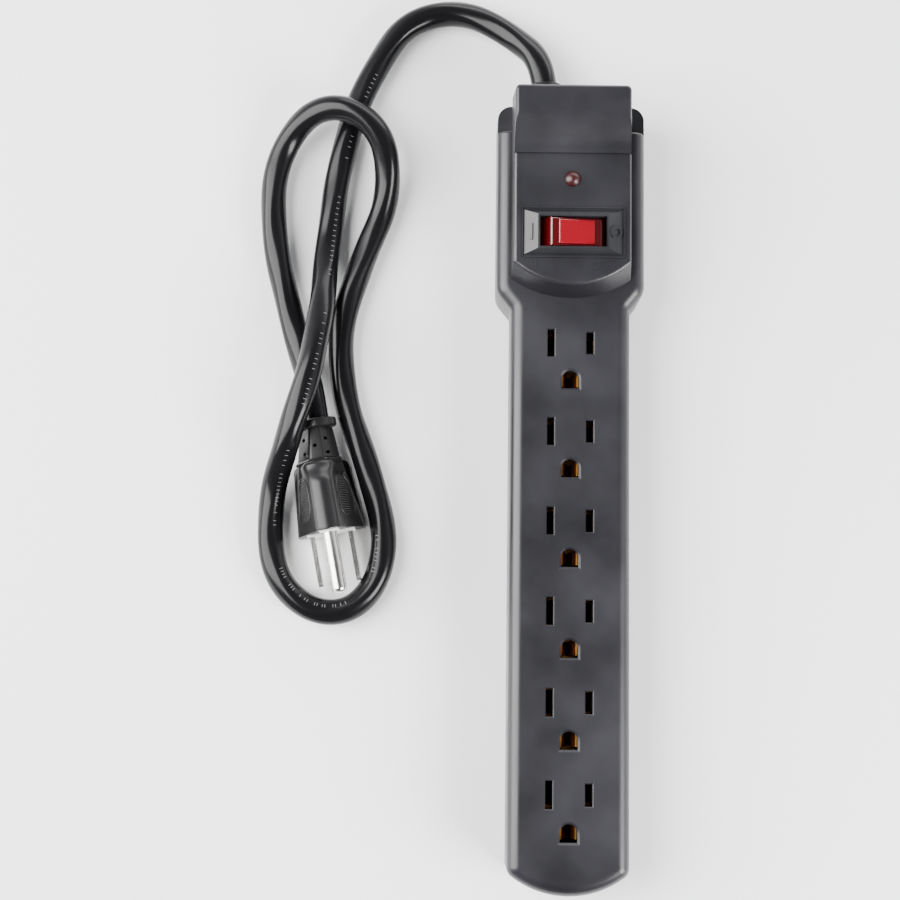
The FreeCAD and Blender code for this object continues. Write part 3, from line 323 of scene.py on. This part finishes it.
def ribbed_lens(name, colour, pitch):
    """Clear red lens with a fine square grid moulded in it."""
    shade = Shade(name, colour, 0.14, Coat_Weight=0.5, Coat_Roughness=0.05,
                  Transmission_Weight=0.12, IOR=1.49)
    waves_per_metre = math.pi / (10 * pitch)
    waves = []
    for direction in ("X", "Y"):
        wave = shade.node("TexWave", Vector=shade.place, Scale=waves_per_metre, Distortion=0.0)
        wave.bands_direction = direction
        waves.append(wave.outputs["Fac"])
    grid = shade.node("Math")
    grid.operation = "MAXIMUM"
    for wave, socket in zip(waves, grid.inputs):
        shade.tree.links.new(wave, socket)
    shade.two_colours(grid.outputs[0], colour, toned(colour, 1.5))
    return shade.bump(grid.outputs[0], 0.03 * MM, 0.5).done()


MATERIALS = {
    "housing_plastic": moulded("housing_plastic", (0.0085, 0.0083, 0.0105), 0.34),
    "bezel_plastic": moulded("bezel_plastic", (0.010, 0.010, 0.012), 0.34),
    # the rocker's emission is painted light: it keeps the shaded ends red while its lamp is off
    "rocker_red": tinted("rocker_red", (0.055, 0.0004, 0.001), 0.12, 0.10, painted_glow=0.25),
    "lens_red": ribbed_lens("lens_red", (0.15, 0.001, 0.006), 0.45 * MM),
    "led_red": tinted("led_red", (0.030, 0.0004, 0.001), 0.36, 0.05, coat=0.0),
    "case_plastic": moulded("case_plastic", (0.012, 0.012, 0.012), 0.5),
    "steel": metal("steel", (0.60, 0.60, 0.62), 0.34),
    "spring_steel": metal("spring_steel", (0.55, 0.55, 0.57), 0.30),
    "nickel": metal("nickel", (0.80, 0.78, 0.74), 0.20),
    "bronze": metal("bronze", (0.66, 0.31, 0.07), 0.34),
    "brass_terminal": metal("brass_terminal", (0.78, 0.60, 0.25), 0.30),
    "neon_glass": tinted("neon_glass", (0.85, 0.55, 0.40), 0.05, 0.8),
    "board_green": plain_material("board_green", (0.02, 0.12, 0.05), 0.35),
    "varistor_blue": plain_material("varistor_blue", (0.03, 0.10, 0.38), 0.35),
    "resistor_tan": plain_material("resistor_tan", (0.55, 0.40, 0.24), 0.4),
    "fuse_white": plain_material("fuse_white", (0.75, 0.75, 0.70), 0.5),
    "tray_plastic": moulded("tray_plastic", (0.006, 0.006, 0.006), 0.6),
    "cord_black": flexible("cord_black", (0.0045, 0.0043, 0.005), 0.20, 0.22),
    "plug_black": flexible("plug_black", (0.007, 0.0065, 0.007), 0.32, 0.34),
    "carrier_grey": plain_material("carrier_grey", (0.72, 0.72, 0.70), 0.45),
    "lead_black": flexible("lead_black", (0.015, 0.015, 0.015), 0.4),
    "lead_white": flexible("lead_white", (0.7, 0.7, 0.7), 0.4),
    "lead_green": flexible("lead_green", (0.02, 0.22, 0.06), 0.4),
}
PRINT_GREY = plain_material("print_grey", (0.10, 0.10, 0.102), 0.5)
NODE_ROUND_UP_TO = 32      # degrees between two faces of a CAD node that are shaded as one


def dress_nodes():
    """Every carried-over CAD node takes its slot's material."""
    for part in frame["record"]["subparts"]:
        thing = NODES[part["node"]]
        paint(thing, MATERIALS[part["material_slot"]])
        shade_round(thing, NODE_ROUND_UP_TO)


# ---------------------------------------------------------------- cord

CORD_RADIUS = 4.4 * MM
CORD_ROUTE = [             # millimetres, from the end wall to the plug's collar
    (-8.0, 130.3, 12.5), (-8.0, 144.5, 12.5), (-20.0, 157.5, 7.0), (-38.0, 166.5, 4.6),
    (-55.0, 162.0, 4.6), (-65.5, 147.0, 4.6), (-74.0, 127.0, 4.6), (-79.0, 103.0, 4.6),
    (-81.5, 78.0, 5.5), (-82.2, 56.0, 17.0), (-85.8, 36.0, 20.3), (-91.8, 17.0, 18.8),
    (-98.0, 0.0, 5.2), (-99.0, -18.5, 4.6), (-94.5, -32.5, 4.6), (-84.0, -41.0, 4.6),
    (-71.5, -40.5, 4.6), (-62.0, -30.5, 4.6), (-60.0, -13.0, 4.6), (-67.0, 9.5, 4.6),
    (-75.5, 33.0, 4.6), (-76.5, 57.0, 4.6), (-68.5, 80.0, 4.6), (-61.0, 99.0, 5.0),
    (-61.2, 114.5, 12.0), (-67.5, 124.5, 14.7), (-78.0, 129.3, 14.7), (-88.5, 127.0, 10.0),
    (-96.5, 118.0, 5.0), (-100.2, 104.0, 4.6), (-99.7, 87.0, 4.6), (-95.5, 67.0, 4.6),
    (-89.5, 46.0, 5.0), (-85.49, 33.043, 9.0), (-83.525, 22.932, 9.0),
]
CORD_LOBE = 0.055          # how far the hollows between the three cores sink, of the radius
CORD_TWIST = 0.085         # metres of cord for one turn of the cores
CORD_SIDES = 36
TICK_LONG, TICK_WIDE, TICK_HIGH = 1.1 * MM, 0.22 * MM, 0.04 * MM
TICK_PITCH, TICK_PAUSE = 1.35 * MM, 14 * MM
TICKS_IN_A_GROUP = 24
TICK_RHYTHM = (1, 1, 0, 1, 1, 1, 0, 1, 0, 1, 1, 0, 1, 1)     # 0 leaves a gap
TICKS_START, TICKS_STOP = 0.09, 0.33       # metres along the cord
TICKS_ASIDE = 0.45         # radians from the top of the cord to the row of ticks


def cord_line():
    """Points along the cord's own smooth line."""
    curve = bpy.data.curves.new("cord_line", "CURVE")
    curve.dimensions = "3D"
    curve.resolution_u = 12
    line = curve.splines.new("NURBS")
    line.points.add(len(CORD_ROUTE) - 1)
    for point, place in zip(line.points, CORD_ROUTE):
        point.co = (*(value * MM for value in place), 1)
    line.order_u = 3
    line.use_endpoint_u = True
    holder = bpy.data.objects.new("cord_line", curve)
    bpy.context.scene.collection.objects.link(holder)
    mesh = bpy.data.meshes.new_from_object(holder)
    points = [vertex.co.copy() for vertex in mesh.vertices]
    bpy.data.objects.remove(holder)
    return points


def carried_frames(points):
    """Place, two side directions and distance run at each point, with no sudden turn."""
    frames = []
    side = Vector((0, 0, 1))
    run = 0.0
    for index, point in enumerate(points):
        before, after = points[max(index - 1, 0)], points[min(index + 1, len(points) - 1)]
        heading = (after - before).normalized()
        side = (side - heading * side.dot(heading)).normalized()
        if index:
            run += (point - points[index - 1]).length
        frames.append((point, side.copy(), heading.cross(side), run))
    return frames


def lobed(angle, run):
    """Cord radius at an angle: three cores show softly through the jacket."""
    phase = angle - 2 * math.pi * run / CORD_TWIST
    return CORD_RADIUS * (1 - CORD_LOBE * (0.5 - 0.5 * math.cos(3 * phase)))


def surface_point(spot, angle, lift=0.0):
    """Point on the cord's skin at an angle round its line."""
    place, side, other, run = spot
    out = side * math.cos(angle) + other * math.sin(angle)
    return place + out * (lobed(angle, run) + lift)


def make_cord():
    """Tube with three soft lobes that wind slowly along it."""
    points = cord_line()
    frames = carried_frames(points)
    angles = [2 * math.pi * index / CORD_SIDES for index in range(CORD_SIDES)]
    shape = bmesh.new()
    skin_rings(shape, [[surface_point(spot, angle) for angle in angles] for spot in frames])
    made = to_object("flex_cord", shape, 40)
    paint(made, MATERIALS["cord_black"])
    return finish_piece(made, "housing", ["power_cord"]), frames, points


def add_tick(shape, spot):
    """One tick across the cord, on the side that faces up and a little to one side."""
    _, side, other, _ = spot
    angle = math.atan2(other.z, side.z) - TICKS_ASIDE
    reach = TICK_LONG / 2 / CORD_RADIUS
    heading = side.cross(other)
    rings = []
    for lift in (-TICK_HIGH, TICK_HIGH):
        ring = []
        for turn, along in ((-reach, -1), (reach, -1), (reach, 1), (-reach, 1)):
            ring.append(surface_point(spot, angle + turn, lift) + heading * along * TICK_WIDE / 2)
        rings.append(ring)
    skin_rings(shape, rings)


def make_cord_marks(frames):
    """Row of small raised ticks near the top of the cord, in place of the printed legend."""
    shape = bmesh.new()
    run, index, last = TICKS_START, 0, None
    while run < TICKS_STOP:
        spot = min(frames, key=lambda item: abs(item[3] - run))
        if TICK_RHYTHM[index % len(TICK_RHYTHM)] and spot is not last:
            add_tick(shape, spot)
            last = spot
        index += 1
        run += TICK_PITCH if index % TICKS_IN_A_GROUP else TICK_PAUSE
    made = to_object("cord_marks", shape)
    paint(made, PRINT_GREY)
    return finish_piece(made, "housing")


# ---------------------------------------------------------------- plug

# The plug's own frame is in millimetres: face at the origin, blades toward -Y, cord toward +Y.
PLUG_PLACE, PLUG_TURN = (-78.0 * MM, -14.4 * MM, 0), math.radians(11)
PLUG_FRAME = (Matrix.Translation(PLUG_PLACE) @ Matrix.Rotation(PLUG_TURN, 4, "Z")
              @ Matrix.Scale(MM, 4))
CORNER_STEPS = 5

# Shell: sizes at the face. A taper is what is gone at the cord's end, where the ridge
# also spreads and sinks in a smooth step.
PLUG_LONG = 24.0
BASE_HALF, BASE_TAPER = 11.5, 2.35
FLANGE_TOP, FLANGE_STEP, FLANGE_OUT = 2.0, 2.8, 0.2
SIDE_TAPER, SIDE_LEAN = 1.5, 0.2
SHOULDER, SHOULDER_TAPER = 6.2, 1.0
RIDGE_HALF, RIDGE_TAPER, RIDGE_RISE = 4.6, 0.3, 0.75
RIDGE_SPREAD, SPREAD_FROM, SPREAD_OVER = 1.4, 17.0, 6.0
RIDGE_FOOT, FOOT_TAPER = 20.4, 4.2
FOOT_SINK, SINK_FROM, SINK_OVER = 3.0, 16.5, 5.5
SHELL_FACE = ((0.0, 0.5), (0.12, 0.15), (0.5, 0.0))        # (y, inset) of its sections
SHELL_TAIL = ((22.7, 0.15), (23.3, 0.6), (23.7, 1.5))

# Strain relief: a size at its start, then how much it changes up to its end.
RELIEF_START, RELIEF_END, RELIEF_PAST = 22.0, 34.5, 0.6
RELIEF_HALF, RELIEF_HALF_CHANGE = 7.4, -1.8
RELIEF_TOP_HALF, RELIEF_TOP_HALF_CHANGE = 2.6, -0.6
RELIEF_LOW, RELIEF_LOW_CHANGE = 1.6, 2.0
RELIEF_SIDE, RELIEF_SIDE_CHANGE = 9.0, -0.4
RELIEF_TOP, RELIEF_TOP_CHANGE = 15.6, -1.6
RELIEF_LEAN = 0.7          # it leans towards the side that the cord leaves on
RELIEF_LIP = ((19.0, 0.0), (22.9, 0.0), (23.2, 0.5), (23.7, 0.75), (24.1, 0.5), (24.4, 0.0))
RELIEF_SECTIONS = (27.0, 30.0, 33.0)
HOLES = ((-3.6, 31.2), (-3.9, 26.4), (-0.1, 28.6), (3.7, 30.6), (3.8, 25.9))
HOLE_RADIUS, HOLE_MIDDLE, HOLE_DEPTH, HOLE_SIDES = 0.6, 15.2, 9.0, 20

# Collar: (y, radius) round the cord's line, which leaves the plug a little off its middle.
COLLAR_ACROSS, CORD_LEVEL, COLLAR_SIDES = 1.7, 9.0, 48
COLLAR_PROFILE = ((34.0, 4.0), (34.6, 4.9), (34.7, 5.9), (35.05, 6.3), (36.2, 6.4),
                  (37.3, 6.3), (37.6, 6.0), (37.7, 5.0), (37.75, 4.3))

# Grips: along the plug in millimetres, up the slope as a share of it.
GRIP_MIDDLE, GRIP_HALF_LONG, GRIP_UP, GRIP_HALF_UP = 11.3, 7.5, 0.52, 0.42
GRIP_SLOPE = 16.0          # the slope's whole length, which those shares are of
GRIP_SQUARENESS = 0.75     # 1 is an ellipse, less is squarer
RIM_HIGH, RIM_POINTS, RIM_SIDES = 0.28, 56, 8
RIM_UP, RIM_ALONG = 0.06, 0.04     # half its width, as shares of the way to the pad's middle
STUD_PITCH, STUD_HALF, STUD_HIGH, STUD_SUNK = 0.8, 0.26, 0.20, 0.05
STUD_FIELD, STUD_SQUARENESS = 0.78, 2.6     # the oval that holds the studs, inside the rim


def ease(value):
    """Smooth step from 0 to 1."""
    value = min(max(value, 0.0), 1.0)
    return value * value * (3 - 2 * value)


def soft_corners(corners):
    """Closed outline with each (x, z, reach) corner turned into a short curve."""
    points = []
    for index, (x, z, reach) in enumerate(corners):
        corner = Vector((x, z))
        ends = []
        for other in (corners[index - 1], corners[(index + 1) % len(corners)]):
            edge = Vector(other[:2]) - corner
            ends.append(corner + edge.normalized() * min(reach, 0.48 * edge.length))
        for step in range(CORNER_STEPS + 1):
            part = step / CORNER_STEPS
            points.append(ends[0] * (1 - part) ** 2 + corner * 2 * part * (1 - part)
                          + ends[1] * part ** 2)
    return points


def shell_sizes(y):
    """Half width at the base and above it, shoulder height, ridge half width and foot.

    All taper towards the cord, and near it the ridge also spreads and sinks.
    """
    run = y / PLUG_LONG
    base = BASE_HALF - BASE_TAPER * run
    upper = base - FLANGE_OUT - SIDE_TAPER * run
    shoulder = SHOULDER - SHOULDER_TAPER * run
    ridge = RIDGE_HALF - RIDGE_TAPER * run
    ridge += RIDGE_SPREAD * ease((y - SPREAD_FROM) / SPREAD_OVER)
    foot = RIDGE_FOOT - FOOT_TAPER * run - FOOT_SINK * ease((y - SINK_FROM) / SINK_OVER)
    return base, upper, shoulder, ridge, foot


def shell_outline(y, inset):
    """Section of the plug: base flange, low sides, sloping grips and a round ridge."""
    base, upper, shoulder, ridge, foot = shell_sizes(y)
    top = foot + RIDGE_RISE * ridge
    base, upper, ridge = base - inset, upper - inset, ridge - inset
    right = [(base, inset, 0.4), (base, FLANGE_TOP, 0.5), (upper, FLANGE_STEP, 0.5),
             (upper - SIDE_LEAN, shoulder - inset / 2, 1.2), (ridge, foot - inset / 2, 2.0),
             (0.78 * ridge, foot + 0.5 * ridge - inset / 2, 1.4),
             (0.26 * ridge, top - inset, 1.6)]
    left = [(-x, z, reach) for x, z, reach in reversed(right)]
    return soft_corners(right + left)


def plug_rings(rings):
    """Bmesh through (y, outline) sections in the plug's frame."""
    shape = bmesh.new()
    skin_rings(shape, [[PLUG_FRAME @ Vector((x, y, z)) for x, z in outline]
                       for y, outline in rings])
    return shape


def make_plug_shell():
    """Moulded grip of the plug, rounded at the face and sinking before the relief."""
    sections = [*SHELL_FACE, *((float(y), 0.0) for y in range(1, 23)), *SHELL_TAIL]
    rings = [(y, shell_outline(y, inset)) for y, inset in sections]
    shell = to_object("plug_shell", plug_rings(rings), 50)
    paint(shell, MATERIALS["plug_black"])
    return finish_piece(shell, "housing", ["plug_body"])


def relief_outline(y, grow=0.0):
    """Section of the strain relief: a box with sloping shoulders."""
    run = (y - RELIEF_START) / (RELIEF_END - RELIEF_START)
    middle = RELIEF_LEAN * ease(run)
    half = RELIEF_HALF + RELIEF_HALF_CHANGE * run + grow
    top_half = RELIEF_TOP_HALF + RELIEF_TOP_HALF_CHANGE * run + 0.6 * grow
    low = RELIEF_LOW + RELIEF_LOW_CHANGE * run - grow
    side = RELIEF_SIDE + RELIEF_SIDE_CHANGE * run
    top = RELIEF_TOP + RELIEF_TOP_CHANGE * run + grow
    right = [(half - 1.0, low, 0.8), (half, low + 2.0, 1.2), (half, side, 0.9),
             (top_half, top, 0.8)]
    left = [(-x, z, reach) for x, z, reach in reversed(right)]
    return soft_corners([(x + middle, z, reach) for x, z, reach in right + left])


def make_relief():
    """Boxy tapering strain relief with a lip at its root and five small holes."""
    rings = [(y, relief_outline(y, grow)) for y, grow in RELIEF_LIP]
    rings += [(y, relief_outline(y)) for y in (*RELIEF_SECTIONS, RELIEF_END + RELIEF_PAST)]
    relief = to_object("plug_relief", plug_rings(rings))
    holes = bmesh.new()
    for x, y in HOLES:
        place = PLUG_FRAME @ Matrix.Translation((x, y, HOLE_MIDDLE))
        bmesh.ops.create_cone(holes, cap_ends=True, segments=HOLE_SIDES, radius1=HOLE_RADIUS,
                              radius2=HOLE_RADIUS, depth=HOLE_DEPTH, matrix=place)
    cut_by(relief, to_object("relief_holes", holes))
    shade_round(relief, 40)
    paint(relief, MATERIALS["plug_black"])
    return finish_piece(relief, "housing")


def make_collar():
    """Round collar with soft edges at the end of the relief."""
    rings = [(y, [(COLLAR_ACROSS + x, CORD_LEVEL + z) for x, z in circle(radius, COLLAR_SIDES)])
             for y, radius in COLLAR_PROFILE]
    collar = to_object("plug_collar", plug_rings(rings), 35)
    paint(collar, MATERIALS["plug_black"])
    return finish_piece(collar, "housing")


def grip_point(side, up, y, lift):
    """Point over a sloping side, a share of the way up from the shoulder to the ridge."""
    _, upper, shoulder, ridge, foot = shell_sizes(y)
    low, high = Vector((upper - SIDE_LEAN, shoulder)), Vector((ridge, foot))
    slope = (high - low).normalized()
    spot = low.lerp(high, up) + Vector((slope.y, -slope.x)) * lift
    return PLUG_FRAME @ Vector((side * spot.x, y, spot.y))


def add_rim(shape, side):
    """Fine round bead along the oval edge of one pad."""
    rows = []
    for cosine, sine in circle(1.0, RIM_POINTS):
        across = math.copysign(abs(cosine) ** GRIP_SQUARENESS, cosine)
        along = math.copysign(abs(sine) ** GRIP_SQUARENESS, sine)
        up, y = GRIP_UP + GRIP_HALF_UP * across, GRIP_MIDDLE + GRIP_HALF_LONG * along
        to_middle = RIM_UP * (GRIP_UP - up), RIM_ALONG * (GRIP_MIDDLE - y)
        row = []
        for inward, lift in circle(1.0, RIM_SIDES):
            point = grip_point(side, up + to_middle[0] * inward, y + to_middle[1] * inward,
                               RIM_HIGH * lift)
            row.append(shape.verts.new(point))
        rows.append(row)
    for index, row in enumerate(rows):
        after = rows[(index + 1) % RIM_POINTS]
        for first in range(RIM_SIDES):
            then = (first + 1) % RIM_SIDES
            shape.faces.new((row[first], row[then], after[then], after[first]))


def add_studs(shape, side):
    """Small pyramids in offset rows inside one oval."""
    step = STUD_HALF / GRIP_SLOPE
    rows = int(2 * GRIP_HALF_LONG / STUD_PITCH)
    columns = int(2 * GRIP_HALF_UP * GRIP_SLOPE / STUD_PITCH)
    for row in range(1, rows):
        y = GRIP_MIDDLE - GRIP_HALF_LONG + row * STUD_PITCH
        for column in range(1, columns):
            across = (column + 0.5 * (row % 2)) * STUD_PITCH
            up = GRIP_UP - GRIP_HALF_UP + across / GRIP_SLOPE
            reach = (abs((up - GRIP_UP) / GRIP_HALF_UP) ** STUD_SQUARENESS
                     + abs((y - GRIP_MIDDLE) / GRIP_HALF_LONG) ** STUD_SQUARENESS)
            if reach > STUD_FIELD:
                continue
            base = []
            for a, b in ((-1, -1), (1, -1), (1, 1), (-1, 1)):
                foot = grip_point(side, up + a * step, y + b * STUD_HALF, -STUD_SUNK)
                base.append(shape.verts.new(foot))
            tip = shape.verts.new(grip_point(side, up, y, STUD_HIGH))
            shape.faces.new(base)
            for first in range(4):
                shape.faces.new((base[first], base[(first + 1) % 4], tip))


def make_grips():
    """Oval finger pads on both slopes: a fine rim with a field of small studs."""
    shape = bmesh.new()
    for side in (-1, 1):
        add_rim(shape, side)
        add_studs(shape, side)
    grips = to_object("plug_grips", shape, 60)
    paint(grips, MATERIALS["plug_black"])
    return finish_piece(grips, "housing")


# ---------------------------------------------------------------- switch symbols

PANEL_LEVEL = 32.5 * MM
SLOPE_RISE, SLOPE_RUN = 1.5, 4.45          # of the bezel's two end slopes
SLOPE_MARK_ACROSS = 13.75 * MM             # each way from the bezel's middle
SLOPE_MARK_RISE = 0.78 * MM                # above the panel
PANEL_MARK_ACROSS = 9.9 * MM               # each way from the middle of their pair
PANEL_MARKS_MIDDLE = (-2.2 * MM, -10.9 * MM, 0)     # from the bezel's middle
PANEL_MARK_SIZE = 0.6                      # the marks on the slopes are 1
MARK_HIGH = 0.30
BAR_HALF_WIDE, BAR_HALF_LONG = 0.45, 2.7
RING_OUTER, RING_INNER, RING_SIDES = 2.1, 1.35, 40


def raised_band(shape, place, outer, inner):
    """Flat ring, or a bar where there is no inner outline, raised from a surface."""
    def loop(points, level):
        return [shape.verts.new(place @ Vector((x, y, level))) for x, y in points]

    low, top = loop(outer, -MARK_HIGH), loop(outer, MARK_HIGH)
    if not inner:
        shape.faces.new(top)
        shape.faces.new(low[::-1])
        walls = [(low, top)]
    else:
        low_in, top_in = loop(inner, -MARK_HIGH), loop(inner, MARK_HIGH)
        walls = [(low, top), (top, top_in), (top_in, low_in), (low_in, low)]
    for first, second in walls:
        for index in range(len(first)):
            then = (index + 1) % len(first)
            shape.faces.new((first[index], first[then], second[then], second[index]))


def add_mark(shape, side, place):
    """One mark: the bar on the ON side, or the ring on the OFF side."""
    if side < 0:
        wide, tall = BAR_HALF_WIDE, BAR_HALF_LONG
        corners = [(-wide, -tall), (wide, -tall), (wide, tall), (-wide, tall)]
        raised_band(shape, place, corners, None)
    else:
        raised_band(shape, place, circle(RING_OUTER, RING_SIDES), circle(RING_INNER, RING_SIDES))


def make_symbols():
    """Plain on and off marks: a bar and a ring on the bezel, and smaller ones below."""
    (low_x, low_y, _), (high_x, high_y, _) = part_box("switch_bezel")
    middle = Vector(((low_x + high_x) / 2, (low_y + high_y) / 2, PANEL_LEVEL))
    slope = math.atan2(SLOPE_RISE, SLOPE_RUN)
    shape = bmesh.new()
    for side in (-1, 1):
        spot = middle + Vector((side * SLOPE_MARK_ACROSS, 0, SLOPE_MARK_RISE))
        lean = Matrix.Rotation(side * slope, 4, "Y")
        add_mark(shape, side, Matrix.Translation(spot) @ lean @ Matrix.Scale(MM, 4))
    for side in (-1, 1):
        spot = middle + Vector(PANEL_MARKS_MIDDLE) + Vector((side * PANEL_MARK_ACROSS, 0, 0))
        add_mark(shape, side, Matrix.Translation(spot) @ Matrix.Scale(MM * PANEL_MARK_SIZE, 4))
    symbols = to_object("switch_symbols", shape, 30)
    paint(symbols, MATERIALS["bezel_plastic"])
    return finish_piece(symbols, "housing")


# ---------------------------------------------------------------- run

make_camera()
cord, cord_frames, cord_points = make_cord()
marks = make_cord_marks(cord_frames)
dress_nodes()
plug_pieces = [make_plug_shell(), make_relief(), make_collar(), make_grips()]
make_symbols()
make_floor()
make_lights()
